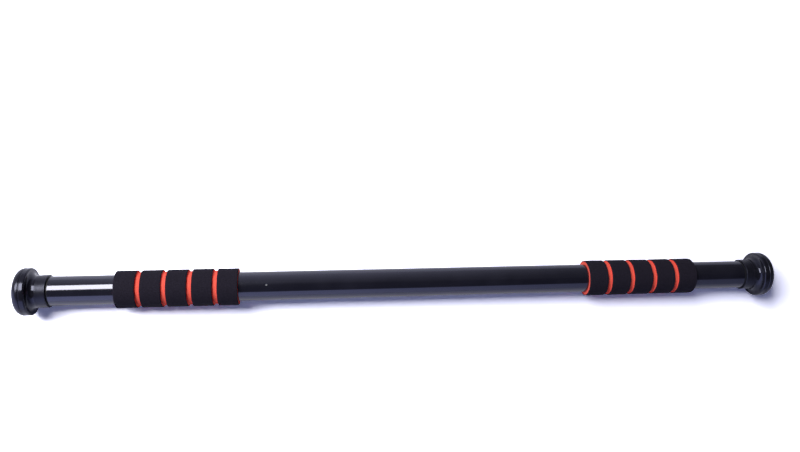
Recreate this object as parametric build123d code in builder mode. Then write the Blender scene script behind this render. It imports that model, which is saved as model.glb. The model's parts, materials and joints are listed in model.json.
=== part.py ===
"""Telescopic door pull up bar, closed, lying along X with its middle at the origin.

Turning the outer tube runs two opposite-handed lead screws in the drive nuts of the inner tubes, which push
the two rubber feet apart against the door jambs. Sizes are in millimetres.
"""

import os

from build123d import *

# Whole bar
overall_length = 800.0  # over both feet, closed
extension_length = 200.0  # travel of each inner tube

# Fits
running_clearance = 0.06  # radial, between pieces that turn or slide on each other
thread_clearance = 0.1  # radial, lead screw in drive nut
closed_gap = 0.3  # foot sleeve to mouth bush when closed

# Outer tube
tube_diameter = 30.0
tube_wall = 1.2
vent_diameter = 2.4
vent_from_grip = 28.5  # from the left grip's inner end

# Grips: red foam with a black skin, and grooves cut through the skin into the red
left_grip_from_end = 95.0  # from the foot's end face, closed
right_grip_from_end = 90.0
grip_thickness = 4.1
grip_skin_thickness = 0.9
band_count = 5
band_width = 20.7
groove_width = 4.5
groove_depth = 2.0
band_edge_round = 0.6

# Wall plugs
plug_diameter = 21.0
plug_height = 6.5
plug_rim_height = 1.8
plug_hole_diameter = 4.4
plug_sink_diameter = 8.0  # for the head of a countersunk screw
plug_flat_diameter = 9.0
plug_ring_diameter = 13.5
plug_ring_depth = 0.5
socket_clearance = 0.3

# Feet
foot_diameter = 48.0
foot_thickness = 13.3
front_rim_width = 8.0
rim_groove_radius = 1.0
rim_groove_depth = 0.5
foot_face_round = 6.5
foot_back_round = 1.6
sleeve_length = 16.7
sleeve_step = 1.25  # sleeve over the outer tube, where it leaves the disc
lip_step = 0.4  # how much the sleeve flares to its lip
sleeve_root_round = 5.0
lip_round = 0.6
tread_count = 2  # ring grooves in the end face
tread_width = 1.2
tread_depth = 0.8
web_thickness = 2.6
plate_thickness = 2.0

# Mouth and tail bushes
bush_wall = 1.18
mouth_bush_length = 25.0
mouth_flange_thickness = 1.0
mouth_flange_inset = 0.4  # flange edge below the outer tube's skin
snap_bead_radius = 0.5
snap_bead_from_end = 5.0
tail_bush_length = 20.0

# Inner tubes and the screw drive
inner_tube_wall = 1.5
lead_screw_diameter = 14.0
screw_tip_chamfer = 1.5
thread_overrun = 6.0  # lead screw past the drive nut at full extension
nut_length = 24.0
nut_flange_thickness = 3.0
nut_pin_diameter = 3.0
nut_pin_count = 2
anchor_length = 40.0
anchor_middle_wall = 4.0
anchor_edge_chamfer = 0.8
screw_pin_diameter = 4.0
screw_pin_inset = 0.5  # pin ends below the outer tube's bore
park_gap = 24.0  # drive nut to anchor, closed

# Radii across the bar
half_length = overall_length / 2
tube_radius = tube_diameter / 2
bore_radius = tube_radius - tube_wall
bush_radius = bore_radius - running_clearance
bush_bore_radius = bush_radius - bush_wall
inner_tube_radius = bush_bore_radius - running_clearance
inner_bore_radius = inner_tube_radius - inner_tube_wall
screw_radius = lead_screw_diameter / 2
nut_bore_radius = screw_radius + thread_clearance
band_radius = tube_radius + grip_thickness
core_radius = band_radius - grip_skin_thickness
groove_radius = band_radius - groove_depth
foot_radius = foot_diameter / 2
sleeve_radius = tube_radius + sleeve_step
lip_radius = sleeve_radius + lip_step
foot_shoulder = foot_radius - sleeve_radius
plug_radius = plug_diameter / 2
socket_radius = plug_radius + socket_clearance

# Stations along the bar, measured from an end face towards the middle
socket_depth = plug_height + socket_clearance
plate_station = socket_depth + web_thickness
inner_tube_station = plate_station + plate_thickness
lip_station = foot_thickness + sleeve_length
flange_station = lip_station + closed_gap
tube_station = flange_station + mouth_flange_thickness
mouth_bush_end = tube_station + mouth_bush_length
bead_station = mouth_bush_end - snap_bead_from_end
anchor_station = half_length - anchor_length / 2
nut_flange_end = anchor_station - park_gap
inner_tube_end = nut_flange_end - nut_flange_thickness
nut_station = inner_tube_end - nut_length
tail_bush_station = inner_tube_end - tail_bush_length
nut_pin_station = (nut_station + inner_tube_end) / 2
screw_tip_station = nut_station - extension_length - thread_overrun
screw_root_station = half_length - anchor_middle_wall / 2
screw_pin_station = (anchor_station + screw_root_station) / 2

# Lengths that several pieces share
outer_tube_length = overall_length - 2 * tube_station
band_pitch = band_width + groove_width
grip_length = band_count * band_pitch - groove_width
vent_station = left_grip_from_end + grip_length + vent_from_grip

# Profile planes: x runs from an end face towards the middle, y is the radius
end_planes = {
    "left": Plane(origin=(-half_length, 0, 0), x_dir=(1, 0, 0), z_dir=(0, 0, 1)),
    "right": Plane(origin=(half_length, 0, 0), x_dir=(-1, 0, 0), z_dir=(0, 0, -1)),
}
grip_stations = {"left": left_grip_from_end, "right": right_grip_from_end}


def corner(sketch, station, radius):
    """The profile vertex nearest to a station and radius."""
    return sketch.vertices().sort_by_distance((station, radius, 0))[0]


def station_plane(side, station):
    """A plane across the bar at a station, looking towards the middle."""
    end = end_planes[side]
    return Plane(origin=end.origin + end.x_dir * station, x_dir=(0, 1, 0), z_dir=end.x_dir)


def pin_plane(side, station):
    """A plane along the bar through its axis, with its normal up and its origin at a station."""
    return Plane(origin=station_plane(side, station).origin, x_dir=(1, 0, 0), z_dir=(0, 0, 1))


def finish(builder, name):
    """Labels a sub-part and writes it to its own file."""
    builder.part.label = name
    export_step(builder.part, f"parts/{name}.step")


def make_outer_tube():
    with BuildPart() as outer_tube:
        with BuildSketch(station_plane("left", tube_station)):
            Circle(tube_radius)
            Circle(bore_radius, mode=Mode.SUBTRACT)
        extrude(amount=outer_tube_length)
        # Snap grooves that keep the mouth bushes in place and let them turn
        for plane in end_planes.values():
            with BuildSketch(plane):
                with Locations((bead_station, bush_radius)):
                    Circle(snap_bead_radius + 2 * running_clearance)
            revolve(axis=Axis.X, mode=Mode.SUBTRACT)
        # Vent hole on top
        with BuildSketch(pin_plane("left", vent_station)):
            Circle(vent_diameter / 2)
        extrude(amount=tube_diameter, mode=Mode.SUBTRACT)
    return outer_tube


def make_grip_core(side):
    first_groove = grip_stations[side] + band_width
    with BuildPart() as grip_core:
        with BuildSketch(station_plane(side, grip_stations[side])):
            Circle(core_radius)
            Circle(tube_radius, mode=Mode.SUBTRACT)
        extrude(amount=grip_length)
        for index in range(band_count - 1):
            with BuildSketch(station_plane(side, first_groove + index * band_pitch)):
                Circle(core_radius)
                Circle(groove_radius, mode=Mode.SUBTRACT)
            extrude(amount=groove_width, mode=Mode.SUBTRACT)
    return grip_core


def make_grip_bands(side):
    with BuildPart() as grip_bands:
        for index in range(band_count):
            with BuildSketch(station_plane(side, grip_stations[side] + index * band_pitch)):
                Circle(band_radius)
                Circle(core_radius, mode=Mode.SUBTRACT)
            extrude(amount=band_width)
        outer_edges = grip_bands.edges().filter_by(GeomType.CIRCLE).group_by(SortBy.RADIUS)[-1]
        fillet(outer_edges, band_edge_round)
    return grip_bands


def make_screw_anchor():
    with BuildPart() as screw_anchor:
        with BuildSketch(Plane.YZ):
            Circle(bore_radius)
        extrude(amount=anchor_length / 2, both=True)
        rims = screw_anchor.edges().filter_by(GeomType.CIRCLE)
        chamfer(rims, anchor_edge_chamfer)
        for side in end_planes:
            with BuildSketch(station_plane(side, anchor_station)):
                Circle(screw_radius)
            extrude(amount=screw_root_station - anchor_station, mode=Mode.SUBTRACT)
            with BuildSketch(pin_plane(side, screw_pin_station)):
                Circle(screw_pin_diameter / 2)
            extrude(amount=tube_radius, both=True, mode=Mode.SUBTRACT)
    return screw_anchor


def make_lead_screw(side):
    with BuildPart() as lead_screw:
        with BuildSketch(station_plane(side, screw_tip_station)):
            Circle(screw_radius)
        extrude(amount=screw_root_station - screw_tip_station)
        tip = lead_screw.edges().filter_by(GeomType.CIRCLE).sort_by_distance(end_planes[side].origin)[0]
        chamfer(tip, screw_tip_chamfer)
        with BuildSketch(pin_plane(side, screw_pin_station)):
            Circle(screw_pin_diameter / 2)
        extrude(amount=tube_radius, both=True, mode=Mode.SUBTRACT)
    return lead_screw


def make_screw_pin(side):
    with BuildPart() as screw_pin:
        with BuildSketch(pin_plane(side, screw_pin_station)):
            Circle(screw_pin_diameter / 2)
        extrude(amount=bore_radius - screw_pin_inset, both=True)
    return screw_pin


def make_mouth_bush(side):
    flange_radius = tube_radius - mouth_flange_inset
    with BuildPart() as mouth_bush:
        with BuildSketch(end_planes[side]):
            with BuildLine():
                Polyline(
                    (flange_station, bush_bore_radius),
                    (flange_station, flange_radius),
                    (tube_station, flange_radius),
                    (tube_station, bush_radius),
                    (mouth_bush_end, bush_radius),
                    (mouth_bush_end, bush_bore_radius),
                    close=True,
                )
            make_face()
            with Locations((bead_station, bush_radius)):
                Circle(snap_bead_radius)
        revolve(axis=Axis.X)
    return mouth_bush


def make_inner_tube(side):
    with BuildPart() as inner_tube:
        with BuildSketch(station_plane(side, inner_tube_station)):
            Circle(inner_tube_radius)
            Circle(inner_bore_radius, mode=Mode.SUBTRACT)
        extrude(amount=inner_tube_end - inner_tube_station)
        with BuildSketch(pin_plane(side, nut_pin_station)):
            Circle(nut_pin_diameter / 2)
        extrude(amount=tube_radius, both=True, mode=Mode.SUBTRACT)
    return inner_tube


def make_drive_nut(side):
    with BuildPart() as drive_nut:
        with BuildSketch(end_planes[side]):
            with BuildLine():
                Polyline(
                    (nut_station, nut_bore_radius),
                    (nut_station, inner_bore_radius),
                    (inner_tube_end, inner_bore_radius),
                    (inner_tube_end, bush_radius),
                    (nut_flange_end, bush_radius),
                    (nut_flange_end, nut_bore_radius),
                    close=True,
                )
            make_face()
        revolve(axis=Axis.X)
        with BuildSketch(pin_plane(side, nut_pin_station)):
            Circle(nut_pin_diameter / 2)
        extrude(amount=tube_radius, both=True, mode=Mode.SUBTRACT)
    return drive_nut


def make_nut_pins(side):
    nut_wall = inner_bore_radius - nut_bore_radius
    with BuildPart() as nut_pins:
        for turn in range(nut_pin_count):
            up = Vector(0, 0, 1).rotate(Axis.X, turn * 360 / nut_pin_count)
            foot_point = station_plane(side, nut_pin_station).origin + up * (nut_bore_radius + nut_wall / 2)
            with BuildSketch(Plane(origin=foot_point, x_dir=(1, 0, 0), z_dir=up)):
                Circle(nut_pin_diameter / 2)
            extrude(amount=nut_wall / 2 + inner_tube_wall / 2)
    return nut_pins


def make_tail_bush(side):
    with BuildPart() as tail_bush:
        with BuildSketch(station_plane(side, tail_bush_station)):
            Circle(bush_radius)
            Circle(inner_tube_radius, mode=Mode.SUBTRACT)
        extrude(amount=tail_bush_length)
    return tail_bush


def make_foot(side):
    # The back edge and the sleeve's root share the shoulder between them
    back_round = min(foot_back_round, foot_shoulder / 4)
    root_round = min(sleeve_root_round, foot_shoulder * 2 / 3)
    # The end face keeps a flat for the treads, at least half as wide as the rubber round the socket
    face_round = min(foot_face_round, (foot_radius - socket_radius) / 2)
    tread_pitch = (foot_radius - face_round - socket_radius) / (tread_count + 1)
    with BuildPart() as foot:
        with BuildSketch(end_planes[side]) as profile:
            with BuildLine():
                Polyline(
                    (0, socket_radius),
                    (0, foot_radius),
                    (foot_thickness, foot_radius),
                    (foot_thickness, sleeve_radius),
                    (lip_station, lip_radius),
                    (lip_station, inner_tube_radius),
                    (plate_station, inner_tube_radius),
                    (plate_station, 0),
                    (socket_depth, 0),
                    (socket_depth, socket_radius),
                    close=True,
                )
            make_face()
            fillet(corner(profile, 0, foot_radius), face_round)
            fillet(corner(profile, foot_thickness, foot_radius), back_round)
            fillet(corner(profile, foot_thickness, sleeve_radius), root_round)
            fillet(corner(profile, lip_station, lip_radius), lip_round)
            with Locations((front_rim_width, foot_radius + rim_groove_radius - rim_groove_depth)):
                Circle(rim_groove_radius, mode=Mode.SUBTRACT)
            for index in range(tread_count):
                with Locations((0, socket_radius + (index + 1) * tread_pitch)):
                    Rectangle(2 * tread_depth, tread_width, mode=Mode.SUBTRACT)
        revolve(axis=Axis.X)
    return foot


def make_pressure_plate(side):
    with BuildPart() as pressure_plate:
        with BuildSketch(station_plane(side, plate_station)):
            Circle(inner_tube_radius)
        extrude(amount=plate_thickness)
    return pressure_plate


def make_wall_plug(side):
    # A ball through the top of the rim and the edge of the flat
    dome_rise = plug_height - plug_rim_height
    flat_radius = plug_flat_diameter / 2
    ring_radius = plug_ring_diameter / 2
    dome_centre = (plug_height + plug_rim_height + (flat_radius**2 - plug_radius**2) / dome_rise) / 2
    dome_radius = ((plug_height - dome_centre) ** 2 + flat_radius**2) ** 0.5
    ring_station = dome_centre + (dome_radius**2 - ring_radius**2) ** 0.5
    with BuildPart() as wall_plug:
        with BuildSketch(end_planes[side]):
            with Locations((dome_centre, 0)):
                Circle(dome_radius)
            Rectangle(
                plug_height,
                plug_radius,
                align=(Align.MIN, Align.MIN),
                mode=Mode.INTERSECT,
            )
            with Locations((ring_station, ring_radius)):
                Circle(plug_ring_depth, mode=Mode.SUBTRACT)
        revolve(axis=Axis.X)
        with Locations(station_plane(side, plug_height)):
            CounterSinkHole(plug_hole_diameter / 2, plug_sink_diameter / 2, depth=plug_height)
    return wall_plug


side_makers = {
    "grip_core": make_grip_core,
    "grip_bands": make_grip_bands,
    "lead_screw": make_lead_screw,
    "screw_pin": make_screw_pin,
    "mouth_bush": make_mouth_bush,
    "inner_tube": make_inner_tube,
    "drive_nut": make_drive_nut,
    "nut_pins": make_nut_pins,
    "tail_bush": make_tail_bush,
    "foot": make_foot,
    "pressure_plate": make_pressure_plate,
    "wall_plug": make_wall_plug,
}

os.makedirs("parts", exist_ok=True)
finish(make_outer_tube(), "outer_tube")
finish(make_screw_anchor(), "screw_anchor")
for side in end_planes:
    for name, maker in side_makers.items():
        finish(maker(side), f"{side}_{name}")
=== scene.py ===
"""Looks of a telescopic door pull up bar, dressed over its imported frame. Sizes are in metres.

The bar lies along X on a pale glossy table. The tubes, the threaded lead screws and the foam grips are fine meshes of
their own; the rubber feet, bushes, plugs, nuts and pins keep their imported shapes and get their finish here.
"""

import json
import math

import bmesh
import bpy
from mathutils import Matrix, Vector, noise


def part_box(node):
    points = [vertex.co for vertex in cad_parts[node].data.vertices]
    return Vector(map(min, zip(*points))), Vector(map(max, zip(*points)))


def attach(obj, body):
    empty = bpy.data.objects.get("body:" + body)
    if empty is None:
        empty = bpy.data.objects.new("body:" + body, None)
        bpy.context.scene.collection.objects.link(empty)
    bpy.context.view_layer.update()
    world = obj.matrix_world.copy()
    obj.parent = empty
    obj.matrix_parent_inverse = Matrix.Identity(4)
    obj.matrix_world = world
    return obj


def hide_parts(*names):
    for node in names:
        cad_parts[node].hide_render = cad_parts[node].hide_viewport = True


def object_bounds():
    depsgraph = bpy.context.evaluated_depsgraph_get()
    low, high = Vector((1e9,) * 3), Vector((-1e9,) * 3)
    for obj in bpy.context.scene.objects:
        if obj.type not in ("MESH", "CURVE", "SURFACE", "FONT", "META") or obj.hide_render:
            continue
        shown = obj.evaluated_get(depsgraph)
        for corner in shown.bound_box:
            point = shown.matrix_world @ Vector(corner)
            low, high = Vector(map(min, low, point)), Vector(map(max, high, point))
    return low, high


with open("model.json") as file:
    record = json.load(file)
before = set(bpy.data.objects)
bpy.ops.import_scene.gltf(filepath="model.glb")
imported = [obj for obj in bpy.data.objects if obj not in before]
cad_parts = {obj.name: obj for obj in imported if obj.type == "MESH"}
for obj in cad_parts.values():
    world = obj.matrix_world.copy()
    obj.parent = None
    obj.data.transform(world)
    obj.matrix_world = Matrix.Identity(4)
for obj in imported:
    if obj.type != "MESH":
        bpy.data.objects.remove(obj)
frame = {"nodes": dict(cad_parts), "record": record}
cad_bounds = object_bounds()

SIDES = ("left", "right")
SHARP_ANGLE = 40.0  # degrees between faces, past which an edge shows

# Picture
PICTURE_WIDTH_PX = 800
FOCAL_LENGTH_PX = 694.4
SENSOR_WIDTH_MM = 36.0
CAMERA_PLACE = Vector((-0.1006, -0.0683, 0.7352))
CAMERA_AIM = Vector((-0.0133, 0.0613, 0.0))
CAMERA_ROLL = math.radians(-2.035)
CAMERA_NEAR = 0.01

# Tubes
TUBE_SEGMENTS = 192
TUBE_EDGE_ROUND = 0.0003
TUBE_WALL = 0.0012
INNER_TUBE_WALL = 0.0015
SNAP_FROM_BUSH_END = 0.005  # to the groove in the bore that the mouth bush snaps into
SNAP_RADIUS = 0.00062
BUSH_CLEARANCE = 0.00006

# Drilled holes
VENT_PLACE_X = -0.155
VENT_RADIUS = 0.0012
VENT_RIM = 0.0001
HOLE_MARGIN = 0.0014  # from a hole to the ring of mesh points beside it
HOLE_SEGMENTS = 40
HOLE_SHARP_ANGLE = 25.0

# Lead screws
SCREW_HANDS = {"left": 1, "right": -1}  # 1 is a right-hand thread
SCREW_LEAD = 0.004
SCREW_SEGMENTS = 48
SCREW_CHAMFER = 0.0015
THREAD_DEPTH = 0.0018
THREAD_FORM = ((0.0, 0.0), (0.36, 0.0), (0.50, 1.0), (0.86, 1.0))  # share of a turn, share of the depth
THREAD_RUNOUT = 0.004
CUT_TOLERANCE = 1e-7

# Foam grips
GRIP_SEGMENTS = 176
GRIP_STEP = 0.0008
BAND_COUNT = 5
GROOVE_WIDTH = 0.0045
GROOVE_DEPTH = 0.0020
BAND_ROUND = 0.0008
ROUND_STEPS = 6
SWELL = 0.00016
SWELL_SCALE = 70.0
GRAIN = 0.00004
GRAIN_SCALE = 900.0
EDGE_WANDER = 0.00022
EDGE_WANDER_SCALE = 160.0
SEED_SHIFT = Vector((3.7, 1.3, 2.1))  # sets one grip's unevenness apart from the other's

# Feet
SLEEVE_TEXTURE_LENGTH = 0.0105
SLEEVE_RING_PITCH = 0.0006
SLEEVE_MATT = 0.24  # added to the roughness
DISC_GRAIN = (0.0125, 0.006)  # from the end face, where the grain starts and where it is full
DISC_MATT = 0.13

# Finishes
SHARE = (0.0, 1.0)
WHITE = (1.0, 1.0, 1.0, 1.0)
NOISE_SPAN = (0.3, 0.7)  # the part of a noise's range that most of it falls in
BLACK_SPAN = (0.3, 0.75)  # the same for the colours of the enamel and the rubber
FOAM_STOPS = (0.30, 0.45, 0.75)
PALE_TABLE = ((0.79, 0.81, 0.95), (0.82, 0.84, 0.98))

# Studio
TABLE_HALF = 3.0
TABLE_BOOST = 2.4  # the table as the picture sees it, over its colour
BACKDROP_REACH = (0.5, 0.9)  # where the table starts to fade into the white backdrop, and where it is white
# Room colours by the height of the look direction
WINDOW_SIDE = (
    (0.0, (0.60, 0.63, 1.0)),
    (0.57, (0.56, 0.60, 1.0)),
    (0.64, (0.04, 0.04, 0.06)),
    (1.0, (0.04, 0.04, 0.06)),
)
BACK_WALL = (
    (0.0, (0.56, 0.56, 0.72)),
    (0.3, (0.44, 0.44, 0.56)),
    (0.68, (0.30, 0.30, 0.38)),
    (0.96, (0.14, 0.14, 0.18)),
    (1.0, (0.06, 0.06, 0.08)),
)
# Levels by the sideways part of the look direction: the range of that part, and the levels at its ends
ROOM_LEVELS = ((-0.6, 0.6), (2.0, 0.35))
BACK_WALL_LEFT = ((-0.4, -0.2), (0.4, 1.0))
BACK_WALL_RIGHT = ((0.1, 0.5), (1.0, 0.4))
ROOM_CORNER = 0.06  # half the width of the change from the window side to the back wall
ROOM_FILL = 0.20  # of the room's light on matt surfaces
KEY_PLACE = (-1.45, 0.72, 1.85)
KEY_SIZE = (1.64, 1.27)
KEY_WATTS = 88.0
KEY_COLOUR = (1.0, 0.98, 0.97)


# Meshes


def mesh_object(name, vertices, faces, trim=None):
    """A smooth mesh object, cut first by a trim function if there is one. Faces run anticlockwise from outside."""
    mesh = bpy.data.meshes.new(name)
    mesh.from_pydata(vertices, [], faces)
    if trim:
        shape = bmesh.new()
        shape.from_mesh(mesh)
        trim(shape)
        shape.to_mesh(mesh)
        shape.free()
    mesh.shade_smooth()
    mesh.set_sharp_from_angle(angle=math.radians(SHARP_ANGLE))
    piece = bpy.data.objects.new(name, mesh)
    bpy.context.scene.collection.objects.link(piece)
    return piece


def ring_sweep(outline, segments, start=0):
    """Vertices and faces of a closed outline of (x, radius) points swept round the X axis."""
    vertices, faces = [], []
    count = len(outline)
    for turn in range(segments):
        angle = 2 * math.pi * turn / segments
        for x, radius in outline:
            vertices.append(Vector((x, radius * math.cos(angle), radius * math.sin(angle))))
    for turn in range(segments):
        here, there = turn * count, (turn + 1) % segments * count
        for point in range(count):
            after = (point + 1) % count
            faces.append([start + i for i in (here + point, there + point, there + after, here + after)])
    return vertices, faces


def steps(low, high, step):
    """Evenly spaced values from low to high, both included, about a step apart."""
    count = max(1, round(abs(high - low) / step))
    return [low + (high - low) * i / count for i in range(count + 1)]


def arc(centre_x, centre_radius, size, from_degrees, to_degrees):
    """Points of a rounded corner in an outline."""
    points = []
    for i in range(ROUND_STEPS + 1):
        angle = math.radians(from_degrees + (to_degrees - from_degrees) * i / ROUND_STEPS)
        points.append((centre_x + size * math.cos(angle), centre_radius + size * math.sin(angle)))
    return points


def snap_groove(place_x, bore):
    """A round groove in a bore, from its high end to its low end."""
    start = math.degrees(math.asin(BUSH_CLEARANCE / SNAP_RADIUS))
    return arc(place_x, bore - BUSH_CLEARANCE, SNAP_RADIUS, start, 180 - start)


def beside_hole(place_x, radius):
    """Stations along a tube for rings of points on both sides of a hole."""
    return [place_x + rings * (radius + HOLE_MARGIN) for rings in (-2, -1, 1, 2)]


def tube_outline(low, high, outer, wall, stations, snaps=()):
    """A tube's wall with all four edges eased, a ring of points at each station and a bore groove at each snap."""
    inner = outer - wall
    edge = TUBE_EDGE_ROUND
    stations = [low + 2 * edge, *stations, high - 2 * edge]
    bore = [[(x, inner)] for x in stations] + [snap_groove(x, inner) for x in snaps]
    bore.sort(reverse=True)
    return (
        arc(low + edge, outer - edge, edge, 180, 90)
        + [(x, outer) for x in stations]
        + arc(high - edge, outer - edge, edge, 90, 0)
        + arc(high - edge, inner + edge, edge, 0, -90)
        + [point for points in bore for point in points]
        + arc(low + edge, inner + edge, edge, -90, -180)
    )


def pin_hole(pin, piece_radius):
    """The place and radius of an upright pin, and the levels of a hole for it right through a piece."""
    low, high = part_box(pin)
    radius = (high.x - low.x) / 2
    return (low.x + high.x) / 2, radius, ((-2 * piece_radius, radius), (2 * piece_radius, radius))


def drill(piece, place_x, levels, bare_steel):
    """Cuts an upright round hole whose (height, radius) levels are given from the bottom up."""
    vertices = []
    for height, radius in levels:
        for turn in range(HOLE_SEGMENTS):
            # The half step keeps the hole's points clear of the piece's own.
            angle = 2 * math.pi * (turn + 0.5) / HOLE_SEGMENTS
            vertices.append((place_x + radius * math.cos(angle), radius * math.sin(angle), height))
    bottom = list(range(HOLE_SEGMENTS))[::-1]
    top = list(range(len(vertices) - HOLE_SEGMENTS, len(vertices)))
    faces = [bottom, top]
    for level in range(len(levels) - 1):
        row, above = level * HOLE_SEGMENTS, (level + 1) * HOLE_SEGMENTS
        for turn in range(HOLE_SEGMENTS):
            after = (turn + 1) % HOLE_SEGMENTS
            faces.append([row + turn, row + after, above + after, above + turn])
    bit = mesh_object("drill", vertices, faces)
    paint(bit, bare_steel)
    cut = piece.modifiers.new("hole", "BOOLEAN")
    cut.operation = "DIFFERENCE"
    cut.object = bit
    cut.solver = "EXACT"
    cut.material_mode = "TRANSFER"
    bpy.context.view_layer.update()
    drilled = bpy.data.meshes.new_from_object(piece.evaluated_get(bpy.context.evaluated_depsgraph_get()))
    piece.modifiers.remove(cut)
    drilled.set_sharp_from_angle(angle=math.radians(HOLE_SHARP_ANGLE))
    piece.data = drilled
    bpy.data.objects.remove(bit)


# Materials


class Nodes:
    """Short calls to wire a node tree."""

    def __init__(self, tree):
        self.tree = tree

    def add(self, kind, **settings):
        node = self.tree.nodes.new(kind)
        for key, value in settings.items():
            setattr(node, key, value)
        return node

    def link(self, source, target):
        self.tree.links.new(source, target)

    def axes(self, vector):
        """The X, Y and Z parts of a vector."""
        node = self.add("ShaderNodeSeparateXYZ")
        self.link(vector, node.inputs["Vector"])
        return node.outputs

    def math(self, operation, first, second=None):
        node = self.add("ShaderNodeMath", operation=operation)
        for socket, value in zip(node.inputs, (first, second)):
            if isinstance(value, (int, float)):
                socket.default_value = value
            elif value is not None:
                self.link(value, socket)
        return node.outputs["Value"]

    def spread(self, value, span, to):
        """A value from one range mapped to another."""
        node = self.add("ShaderNodeMapRange")
        for socket, number in zip(("From Min", "From Max", "To Min", "To Max"), (*span, *to)):
            node.inputs[socket].default_value = number
        self.link(value, node.inputs["Value"])
        return node.outputs["Result"]

    def scale(self, colour, factor):
        """A colour times a value."""
        node = self.add("ShaderNodeVectorMath", operation="SCALE")
        self.link(colour, node.inputs["Vector"])
        self.link(factor, node.inputs["Scale"])
        return node.outputs["Vector"]

    def colours(self, value, stops):
        """A colour ramp of (position, colour) stops."""
        stops = list(stops)
        node = self.add("ShaderNodeValToRGB")
        elements = node.color_ramp.elements
        while len(elements) < len(stops):
            elements.new(1.0)
        for element, (position, colour) in zip(elements, stops):
            element.position = position
            element.color = (*colour, 1.0)
        self.link(value, node.inputs["Fac"])
        return node.outputs["Color"]


class Finish(Nodes):
    """A node material with one Principled shader, in the object's own coordinates."""

    def __init__(self, name, **constants):
        self.material = bpy.data.materials.new(name)
        self.material.use_nodes = True
        super().__init__(self.material.node_tree)
        self.shader = self.tree.nodes["Principled BSDF"]
        for socket, value in constants.items():
            self.shader.inputs[socket.replace("_", " ")].default_value = value
        self.place = self.add("ShaderNodeTexCoord").outputs["Object"]

    def drive(self, socket, value):
        self.link(value, self.shader.inputs[socket])

    def along(self):
        """Distance from the middle of the bar along its axis."""
        return self.math("ABSOLUTE", self.axes(self.place)["X"])

    def noise(self, scale, detail, roughness=0.55, place=None):
        node = self.add("ShaderNodeTexNoise")
        node.inputs["Scale"].default_value = scale
        node.inputs["Detail"].default_value = detail
        node.inputs["Roughness"].default_value = roughness
        self.link(place or self.place, node.inputs["Vector"])
        return node.outputs["Fac"]

    def lines(self, stretch, detail):
        """Noise drawn out into lines, finest along the axes with the largest stretch."""
        mapping = self.add("ShaderNodeMapping")
        mapping.inputs["Scale"].default_value = stretch
        self.link(self.place, mapping.inputs["Vector"])
        return self.noise(scale=1.0, detail=detail, place=mapping.outputs["Vector"])

    def cells(self, scale):
        """Distance from the nearest of many scattered points."""
        node = self.add("ShaderNodeTexVoronoi")
        node.inputs["Scale"].default_value = scale
        self.link(self.place, node.inputs["Vector"])
        return node.outputs["Distance"]

    def bump(self, height, depth, strength):
        """Adds a layer of relief on top of those already there."""
        node = self.add("ShaderNodeBump")
        node.inputs["Strength"].default_value = strength
        node.inputs["Distance"].default_value = depth
        self.link(height, node.inputs["Height"])
        under = self.shader.inputs["Normal"].links
        if under:
            self.link(under[0].from_socket, node.inputs["Normal"])
        self.link(node.outputs["Normal"], self.shader.inputs["Normal"])


def enamel(dark, light, smooth, rough):
    """Glossy black stoved enamel on drawn tube: faint draw lines along the bar and a little orange peel."""
    finish = Finish("enamel", Specular_IOR_Level=1.0, Specular_Tint=(0.85, 0.86, 1.0, 1.0))
    lines = finish.lines(stretch=(6.0, 900.0, 900.0), detail=3.0)
    haze = finish.noise(scale=38.0, detail=5.0)
    peel = finish.noise(scale=700.0, detail=2.0)
    finish.drive("Base Color", finish.colours(haze, zip(BLACK_SPAN, (dark, light))))
    finish.drive("Roughness", finish.spread(lines, NOISE_SPAN, (smooth, rough)))
    finish.bump(lines, depth=0.000008, strength=0.5)
    finish.bump(peel, depth=0.000005, strength=0.5)
    return finish.material


def foam(name, pore, dark, light, smooth=0.84, rough=0.98):
    """Closed-cell foam: fine pores, a soft mottled colour and hardly any shine."""
    finish = Finish(name, Specular_IOR_Level=0.10)
    mottle = finish.noise(scale=900.0, detail=5.0, roughness=0.6)
    finish.drive("Base Color", finish.colours(mottle, zip(FOAM_STOPS, (pore, dark, light))))
    finish.drive("Roughness", finish.spread(mottle, NOISE_SPAN, (rough, smooth)))
    finish.bump(finish.cells(scale=2200.0), depth=0.00008, strength=0.5)
    finish.bump(finish.noise(scale=3600.0, detail=3.0), depth=0.00004, strength=0.5)
    return finish.material


def rubber(dark, light, smooth, rough):
    """Moulded rubber: a smooth shoulder, a grained front rim, and a matt sleeve with fine rings round it."""
    finish = Finish("foot_rubber", Specular_IOR_Level=0.41, Specular_Tint=(0.74, 0.77, 1.0, 1.0))
    lip, face = (corner.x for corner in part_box("right_foot"))
    texture_end = lip + SLEEVE_TEXTURE_LENGTH
    along = finish.along()
    rim = finish.spread(along, [face - distance for distance in DISC_GRAIN], SHARE)
    sleeve = finish.spread(along, (texture_end, texture_end - SLEEVE_RING_PITCH), SHARE)
    bloom = finish.noise(scale=160.0, detail=6.0, roughness=0.6)
    finish.drive("Base Color", finish.colours(bloom, zip(BLACK_SPAN, (dark, light))))
    skin = finish.spread(bloom, NOISE_SPAN, (smooth, rough))
    matt = finish.math("ADD", finish.math("MULTIPLY", sleeve, SLEEVE_MATT), finish.math("MULTIPLY", rim, DISC_MATT))
    finish.drive("Roughness", finish.math("ADD", skin, matt))
    rings = finish.math("SINE", finish.math("MULTIPLY", along, 2 * math.pi / SLEEVE_RING_PITCH))
    grain = finish.noise(scale=1500.0, detail=2.0)
    finish.bump(finish.math("MULTIPLY", rings, sleeve), depth=0.00004, strength=0.5)
    finish.bump(finish.math("MULTIPLY", grain, rim), depth=0.00006, strength=0.5)
    finish.bump(finish.noise(scale=2200.0, detail=3.0), depth=0.00002, strength=0.4)
    return finish.material


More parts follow.
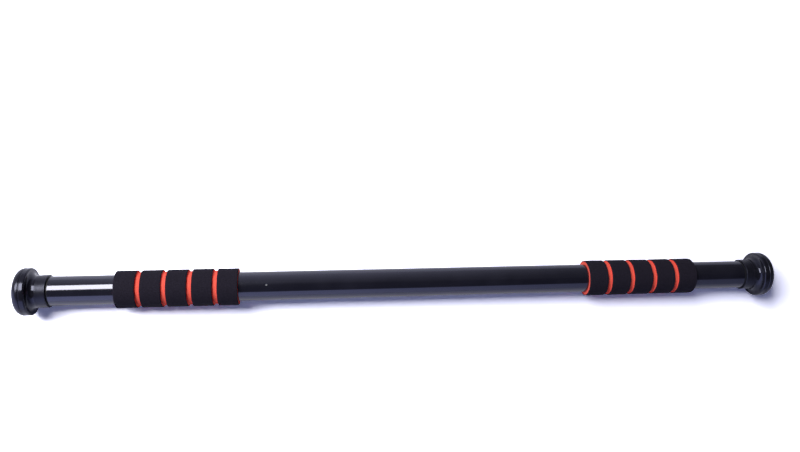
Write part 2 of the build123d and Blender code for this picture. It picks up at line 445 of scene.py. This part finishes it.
def plastic(name, dark, light, smooth, rough):
    """Moulded plastic with a faint flow mottle."""
    finish = Finish(name, Specular_IOR_Level=0.5)
    flow = finish.noise(scale=240.0, detail=4.0)
    finish.drive("Base Color", finish.colours(flow, zip(NOISE_SPAN, (dark, light))))
    finish.drive("Roughness", finish.spread(flow, NOISE_SPAN, (smooth, rough)))
    finish.bump(finish.noise(scale=1800.0, detail=2.0), depth=0.00002, strength=0.4)
    return finish.material


def steel(name, dark, light, smooth, rough, stretch):
    """Bare or plated steel with fine lines left by drawing or turning."""
    finish = Finish(name, Metallic=1.0)
    lines = finish.lines(stretch=stretch, detail=4.0)
    tone = finish.noise(scale=90.0, detail=5.0)
    finish.drive("Base Color", finish.colours(tone, zip(NOISE_SPAN, (dark, light))))
    finish.drive("Roughness", finish.spread(lines, NOISE_SPAN, (smooth, rough)))
    finish.bump(lines, depth=0.000008, strength=0.5)
    return finish.material


def make_finishes():
    """One material for each slot of the record."""
    return {
        "enamel": enamel(dark=(0.006, 0.006, 0.010), light=(0.011, 0.011, 0.017), smooth=0.06, rough=0.14),
        "grip_black": foam(
            "grip_black",
            pore=(0.0100, 0.0085, 0.0140),
            dark=(0.0145, 0.0125, 0.0205),
            light=(0.0200, 0.0175, 0.0285),
        ),
        "grip_red": foam(
            "grip_red", pore=(0.74, 0.085, 0.060), dark=(0.86, 0.115, 0.080), light=(0.94, 0.145, 0.105)
        ),
        "foot_rubber": rubber(dark=(0.006, 0.006, 0.009), light=(0.011, 0.011, 0.016), smooth=0.07, rough=0.14),
        "plug_plastic": plastic(
            "plug_plastic", dark=(0.010, 0.010, 0.012), light=(0.018, 0.018, 0.020), smooth=0.28, rough=0.40
        ),
        "nylon": plastic(
            "nylon", dark=(0.006, 0.006, 0.007), light=(0.010, 0.010, 0.011), smooth=0.45, rough=0.6
        ),
        "tube_steel": steel(
            "tube_steel",
            dark=(0.52, 0.53, 0.55),
            light=(0.66, 0.67, 0.69),
            smooth=0.16,
            rough=0.30,
            stretch=(5.0, 1100.0, 1100.0),
        ),
        "screw_steel": steel(
            "screw_steel",
            dark=(0.36, 0.36, 0.37),
            light=(0.50, 0.50, 0.50),
            smooth=0.28,
            rough=0.45,
            stretch=(1600.0, 20.0, 20.0),
        ),
    }


def paint(piece, material):
    piece.data.materials.clear()
    piece.data.materials.append(material)


def dress_nodes(finishes):
    """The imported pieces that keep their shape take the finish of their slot."""
    slots = {row["node"]: row["material_slot"] for row in frame["record"]["subparts"]}
    for node, piece in frame["nodes"].items():
        paint(piece, finishes[slots[node]])


# Tubes


def make_outer_tube(finishes):
    """The enamelled tube, with snap grooves for the mouth bushes and a vent in its top wall, rimmed by bare steel."""
    low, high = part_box("outer_tube")
    radius = high.z
    bush_ends = [min((corner.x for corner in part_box(f"{side}_mouth_bush")), key=abs) for side in SIDES]
    snaps = [end + math.copysign(SNAP_FROM_BUSH_END, end) for end in bush_ends]
    outline = tube_outline(low.x, high.x, radius, TUBE_WALL, beside_hole(VENT_PLACE_X, VENT_RADIUS), snaps)
    tube = mesh_object("enamelled_tube", *ring_sweep(outline, TUBE_SEGMENTS))
    paint(tube, finishes["enamel"])
    vent = (
        (radius - 3 * TUBE_WALL, VENT_RADIUS),
        (radius - VENT_RIM, VENT_RADIUS),
        (radius + VENT_RIM, VENT_RADIUS + 2 * VENT_RIM),
    )
    drill(tube, VENT_PLACE_X, vent, finishes["screw_steel"])
    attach(tube, "bar")
    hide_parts("outer_tube")


def make_inner_tubes(finishes):
    """Plated tubes, drilled through for the pins that hold the drive nuts."""
    for side in SIDES:
        node = f"{side}_inner_tube"
        low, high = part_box(node)
        pin_x, pin_radius, through = pin_hole(f"{side}_nut_pins", high.z)
        outline = tube_outline(low.x, high.x, high.z, INNER_TUBE_WALL, beside_hole(pin_x, pin_radius))
        tube = mesh_object(f"{side}_plated_tube", *ring_sweep(outline, TUBE_SEGMENTS))
        paint(tube, finishes["tube_steel"])
        drill(tube, pin_x, through, finishes["tube_steel"])
        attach(tube, f"{side}_end")
        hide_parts(node)


# Lead screws


def thread_sweep(low_x, high_x, hand, reach):
    """A thread with sloping flanks whose rows of points follow its helix, with open ends a little past both x."""
    turns = range(math.floor(low_x / SCREW_LEAD) - 2, math.ceil(high_x / SCREW_LEAD) + 2)
    rows = [(turn + share, depth) for turn in turns for share, depth in THREAD_FORM]
    count = len(rows)
    vertices, faces = [], []
    for column in range(SCREW_SEGMENTS):
        share = column / SCREW_SEGMENTS
        angle = 2 * math.pi * share
        for turn, depth in rows:
            x = SCREW_LEAD * (turn + hand * share)
            radius = reach(x, depth)
            vertices.append((x, radius * math.cos(angle), radius * math.sin(angle)))
    for column in range(SCREW_SEGMENTS):
        last = column == SCREW_SEGMENTS - 1
        here, there = column * count, 0 if last else (column + 1) * count
        climb = hand * len(THREAD_FORM) if last else 0
        for row in range(count - 1):
            beside = row + climb
            if 0 <= beside < count - 1:
                faces.append([here + row, there + beside, there + beside + 1, here + row + 1])
    return vertices, faces


def trim_screw(shape, low_x, high_x, radius):
    """Cuts a swept thread off at both ends, chamfers the tip, which is the end away from the middle, and closes it."""
    tip_x = max(low_x, high_x, key=abs)
    inward = 1 if tip_x == low_x else -1
    for place, facing, cut in ((low_x, -1, True), (high_x, 1, True), (tip_x + inward * SCREW_CHAMFER, 1, False)):
        bmesh.ops.bisect_plane(
            shape,
            geom=shape.verts[:] + shape.edges[:] + shape.faces[:],
            dist=CUT_TOLERANCE,
            plane_co=(place, 0.0, 0.0),
            plane_no=(facing, 0.0, 0.0),
            clear_outer=cut,
        )
    for vertex in shape.verts:
        widest = radius - max(0.0, SCREW_CHAMFER - abs(vertex.co.x - tip_x))
        out = math.hypot(vertex.co.y, vertex.co.z)
        if out > widest:
            vertex.co.y *= widest / out
            vertex.co.z *= widest / out
    bmesh.ops.holes_fill(shape, edges=[edge for edge in shape.edges if edge.is_boundary], sides=0)


def make_lead_screw(side, hand, bare_steel):
    """A screw threaded from its tip to the plain end that the middle anchor holds, with a hole for its cross pin."""
    node = f"{side}_lead_screw"
    low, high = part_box(node)
    anchor_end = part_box("screw_anchor")[1].x
    radius = high.z

    def reach(x, depth):
        run = (abs(x) - anchor_end) / THREAD_RUNOUT
        return radius - THREAD_DEPTH * depth * max(0.0, min(1.0, run))

    def trim(shape):
        trim_screw(shape, low.x, high.x, radius)

    screw = mesh_object(f"{side}_threaded_screw", *thread_sweep(low.x, high.x, hand, reach), trim=trim)
    paint(screw, bare_steel)
    pin_x, _, through = pin_hole(f"{side}_screw_pin", radius)
    drill(screw, pin_x, through, bare_steel)
    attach(screw, "bar")
    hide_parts(node)


def make_lead_screws(finishes):
    for side, hand in SCREW_HANDS.items():
        make_lead_screw(side, hand, finishes["screw_steel"])


# Foam grips


def soften(vertices, seed, rest_radius):
    """Gives swept foam its uneven swell, its grain and wandering cut edges. Inside the rest radius it stays round."""
    shift = seed * SEED_SHIFT
    for vertex in vertices:
        out = Vector((0.0, vertex.y, vertex.z))
        radius = out.length
        if radius < rest_radius:
            continue
        swell = SWELL * noise.noise(vertex * SWELL_SCALE + shift)
        grain = GRAIN * noise.noise(vertex * GRAIN_SCALE + shift)
        wander = EDGE_WANDER * noise.noise(vertex * EDGE_WANDER_SCALE - shift)
        vertex += out.normalized() * (swell + grain)
        vertex.x += wander


def band_outline(low, high, inner, outer):
    """One ring of the black skin, with soft outer edges."""
    return (
        arc(low + BAND_ROUND, outer - BAND_ROUND, BAND_ROUND, 180, 90)
        + [(x, outer) for x in steps(low + BAND_ROUND, high - BAND_ROUND, GRIP_STEP)[1:-1]]
        + arc(high - BAND_ROUND, outer - BAND_ROUND, BAND_ROUND, 90, 0)
        + [(high, inner), (low, inner)]
    )


def core_outline(low, bore, outer, floor, band_width):
    """The red foam from end to end, with the cut grooves between the bands."""
    points = [(low, bore)]
    start = low
    for band in range(BAND_COUNT):
        last = band == BAND_COUNT - 1
        end = start + band_width
        points += [(start, radius) for radius in steps(floor if band else bore, outer, GRIP_STEP)[1:]]
        points += [(x, outer) for x in steps(start, end, GRIP_STEP)[1:]]
        points += [(end, radius) for radius in steps(outer, bore if last else floor, GRIP_STEP)[1:]]
        start = end + GROOVE_WIDTH
        if not last:
            points += [(x, floor) for x in steps(end, start, GRIP_STEP)[1:]]
    return points


def make_grips(finishes):
    """Each grip is a red core, which rests on the tube, and the rings of black skin that its grooves leave."""
    tube_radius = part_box("outer_tube")[1].z
    for seed, side in enumerate(SIDES, start=1):
        low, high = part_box(f"{side}_grip_bands")
        core_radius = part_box(f"{side}_grip_core")[1].z
        floor = high.z - GROOVE_DEPTH
        band_width = (high.x - low.x - (BAND_COUNT - 1) * GROOVE_WIDTH) / BAND_COUNT

        outline = core_outline(low.x, tube_radius, core_radius, floor, band_width)
        vertices, faces = ring_sweep(outline, GRIP_SEGMENTS)
        soften(vertices, seed, floor - SWELL)
        core = mesh_object(f"{side}_foam_core", vertices, faces)
        paint(core, finishes["grip_red"])

        vertices, faces = [], []
        for band in range(BAND_COUNT):
            start = low.x + band * (band_width + GROOVE_WIDTH)
            outline = band_outline(start, start + band_width, core_radius, high.z)
            ring_vertices, ring_faces = ring_sweep(outline, GRIP_SEGMENTS, len(vertices))
            vertices += ring_vertices
            faces += ring_faces
        soften(vertices, seed, core_radius - SWELL)
        rings = mesh_object(f"{side}_foam_rings", vertices, faces)
        paint(rings, finishes["grip_black"])

        for piece, node, slot in ((core, "grip_core", "grip_red"), (rings, "grip_bands", "grip_black")):
            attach(piece, "bar")
            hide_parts(f"{side}_{node}")


# Stage


def make_floor():
    """A pale glossy table that the feet lie on. It fades into the white backdrop away from the bar."""
    level = cad_bounds[0][2]
    corners = [(x * TABLE_HALF, y * TABLE_HALF, level) for x, y in ((-1, -1), (1, -1), (1, 1), (-1, 1))]
    floor = mesh_object("table", corners, [[0, 1, 2, 3]])
    finish = Finish("table", Roughness=0.22, Specular_IOR_Level=0.5, Emission_Color=WHITE)
    pale = finish.colours(finish.noise(scale=3.0, detail=2.0), zip(NOISE_SPAN, PALE_TABLE))
    seen = finish.add("ShaderNodeLightPath").outputs["Is Camera Ray"]
    finish.drive("Base Color", finish.scale(pale, finish.spread(seen, SHARE, (1.0, TABLE_BOOST))))
    away = finish.add("ShaderNodeVectorMath", operation="LENGTH")
    finish.link(finish.place, away.inputs["Vector"])
    backdrop = finish.spread(away.outputs["Value"], BACKDROP_REACH, SHARE)
    finish.drive("Emission Strength", finish.math("MULTIPLY", seen, backdrop))
    paint(floor, finish.material)


def make_world():
    """A white backdrop in the picture. For the rest, a room with a cool window side in front of the bar, a dim back
    wall and a dark ceiling, dimmer to the right.
    """
    world = bpy.data.worlds.new("studio")
    bpy.context.scene.world = world
    world.use_nodes = True
    world.node_tree.nodes.clear()
    nodes = Nodes(world.node_tree)
    look = nodes.axes(nodes.add("ShaderNodeTexCoord").outputs["Generated"])
    rays = nodes.add("ShaderNodeLightPath").outputs

    window = nodes.colours(look["Z"], WINDOW_SIDE)
    wall_level = nodes.math(
        "MULTIPLY", nodes.spread(look["X"], *BACK_WALL_LEFT), nodes.spread(look["X"], *BACK_WALL_RIGHT)
    )
    wall = nodes.scale(nodes.colours(look["Z"], BACK_WALL), wall_level)
    sides = nodes.add("ShaderNodeMix", data_type="RGBA")
    for colour, socket in zip((window, wall), [socket for socket in sides.inputs if socket.type == "RGBA"]):
        nodes.link(colour, socket)
    nodes.link(nodes.spread(look["Y"], (-ROOM_CORNER, ROOM_CORNER), SHARE), sides.inputs["Factor"])

    room = nodes.add("ShaderNodeBackground")
    nodes.link(next(socket for socket in sides.outputs if socket.type == "RGBA"), room.inputs["Color"])
    fill = nodes.spread(rays["Is Diffuse Ray"], SHARE, (1.0, ROOM_FILL))
    nodes.link(nodes.math("MULTIPLY", nodes.spread(look["X"], *ROOM_LEVELS), fill), room.inputs["Strength"])

    backdrop = nodes.add("ShaderNodeBackground")
    backdrop.inputs["Color"].default_value = WHITE
    seen = nodes.add("ShaderNodeMixShader")
    nodes.link(rays["Is Camera Ray"], seen.inputs["Fac"])
    nodes.link(room.outputs["Background"], seen.inputs[1])
    nodes.link(backdrop.outputs["Background"], seen.inputs[2])
    nodes.link(seen.outputs["Shader"], nodes.add("ShaderNodeOutputWorld").inputs["Surface"])


def make_key():
    """A rectangular soft light above and to the left of the bar, facing straight down."""
    lamp = bpy.data.lights.new("key", "AREA")
    lamp.shape = "RECTANGLE"
    lamp.size, lamp.size_y = KEY_SIZE
    lamp.energy = KEY_WATTS
    lamp.color = KEY_COLOUR
    key = bpy.data.objects.new("key", lamp)
    key.location = KEY_PLACE
    key.visible_camera = False
    bpy.context.scene.collection.objects.link(key)


def make_camera():
    lens = bpy.data.cameras.new("camera")
    lens.sensor_width = SENSOR_WIDTH_MM
    lens.lens = FOCAL_LENGTH_PX / PICTURE_WIDTH_PX * SENSOR_WIDTH_MM
    lens.clip_start = CAMERA_NEAR
    camera = bpy.data.objects.new("camera", lens)
    back = (CAMERA_PLACE - CAMERA_AIM).normalized()
    right = Vector((0.0, 1.0, 0.0)).cross(back).normalized()
    facing = Matrix((right, back.cross(right), back)).transposed()
    camera.matrix_world = (
        Matrix.Translation(CAMERA_PLACE) @ facing.to_4x4() @ Matrix.Rotation(CAMERA_ROLL, 4, "Z")
    )
    bpy.context.scene.collection.objects.link(camera)
    bpy.context.scene.camera = camera


finishes = make_finishes()
dress_nodes(finishes)
make_outer_tube(finishes)
make_inner_tubes(finishes)
make_lead_screws(finishes)
make_grips(finishes)
make_floor()
make_world()
make_key()
make_camera()
bpy.context.scene.view_settings.view_transform = "Standard"
